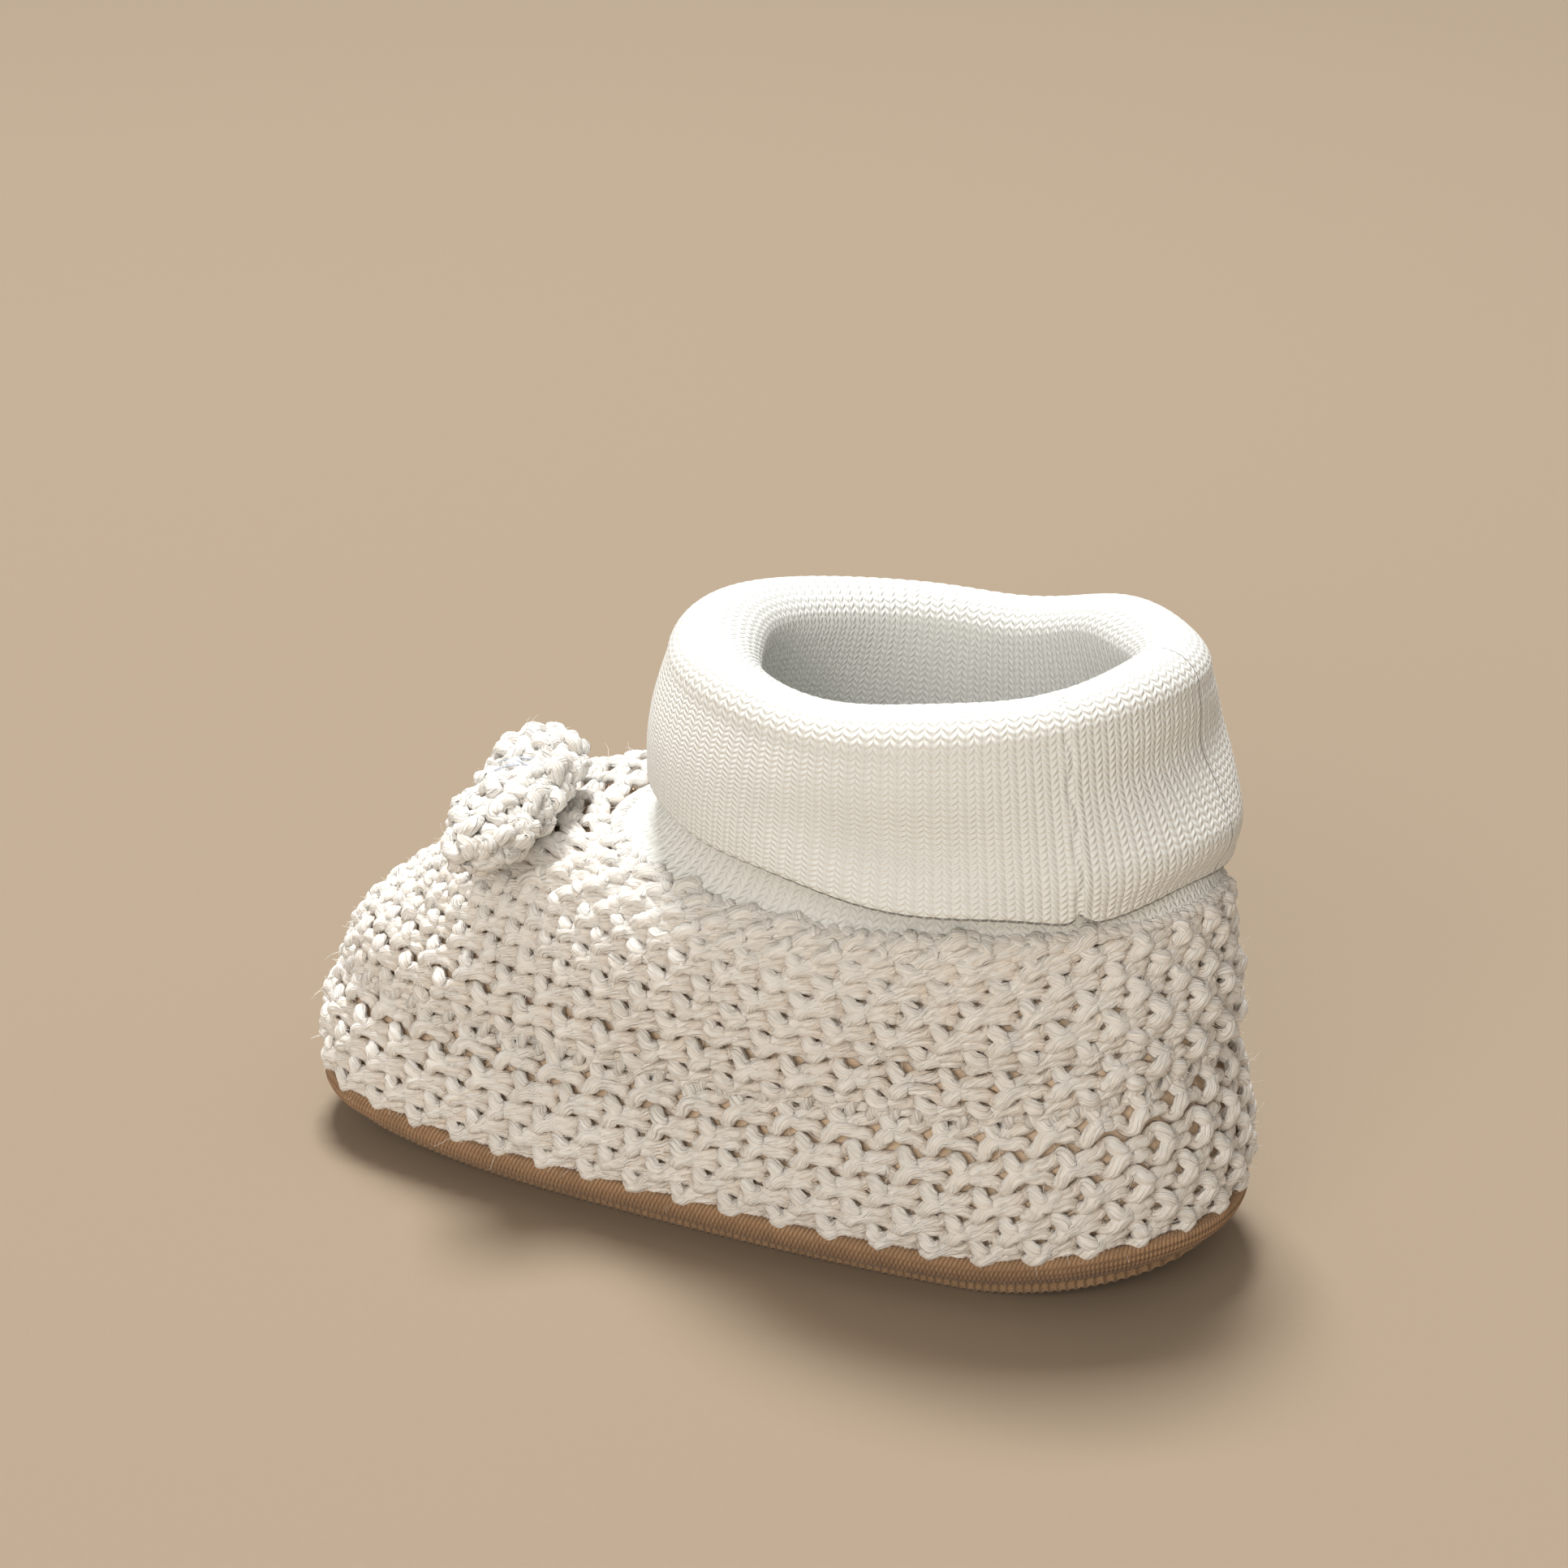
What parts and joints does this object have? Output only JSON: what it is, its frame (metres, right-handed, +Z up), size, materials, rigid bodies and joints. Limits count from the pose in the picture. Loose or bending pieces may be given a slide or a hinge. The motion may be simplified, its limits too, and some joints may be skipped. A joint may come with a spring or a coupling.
{
  "type": "baby bootie",
  "caption": "Soft knitted baby bootie with a ribbed fabric sole, folded jersey cuff and a small knitted bow on the instep.",
  "frame": {"origin": "on the floor, under the middle of the shoe", "axes": "+Z up, -Y towards the toe, +Y towards the heel, X across the shoe"},
  "size_m": [0.0472, 0.102, 0.0644],
  "materials": {
    "sole_fabric": "ribbed cotton fabric, matt tan",
    "wadding": "soft polyester wadding",
    "jersey": "fine rib jersey, soft white with a slight sheen",
    "knit_yarn": "soft plied cotton and acrylic yarn, cream white, matt and a little fuzzy",
    "bow_yarn": "the knit's yarn, worked finer",
    "clear_thread": "clear nylon thread with a slight shine"
  },
  "bodies": {
    "shoe": {"outsole": "sole_fabric", "sole_rand": "sole_fabric", "sole_padding": "wadding", "insole": "jersey", "knit_sidewall": "knit_yarn", "knit_upper": "knit_yarn", "upper_lining": "jersey", "sole_seam": "knit_yarn", "ridge_seam": "knit_yarn", "back_seam": "knit_yarn", "topline_seam": "knit_yarn", "ankle_cuff": "jersey", "cuff_seam": "jersey"},
    "tack": {"bow_tack": "clear_thread"},
    "bow": {"bow_loops": "bow_yarn", "bow_wrap": "bow_yarn"}
  },
  "joints": [
    {"name": "bow_swivel", "type": "hinge", "parent": "shoe", "child": "tack", "pos_m": [0.01045, -0.02375, 0.03761], "axis": [0.2735, -0.2402, 0.9314], "range_deg": [-20, 20], "stiffness_Nm_per_rad": 0.004},
    {"name": "bow_rock", "type": "hinge", "parent": "tack", "child": "bow", "pos_m": [0.01072, -0.02399, 0.03854], "axis": [0, -0.9683, -0.2497], "range_deg": [-8, 8], "stiffness_Nm_per_rad": 0.004}
  ]
}
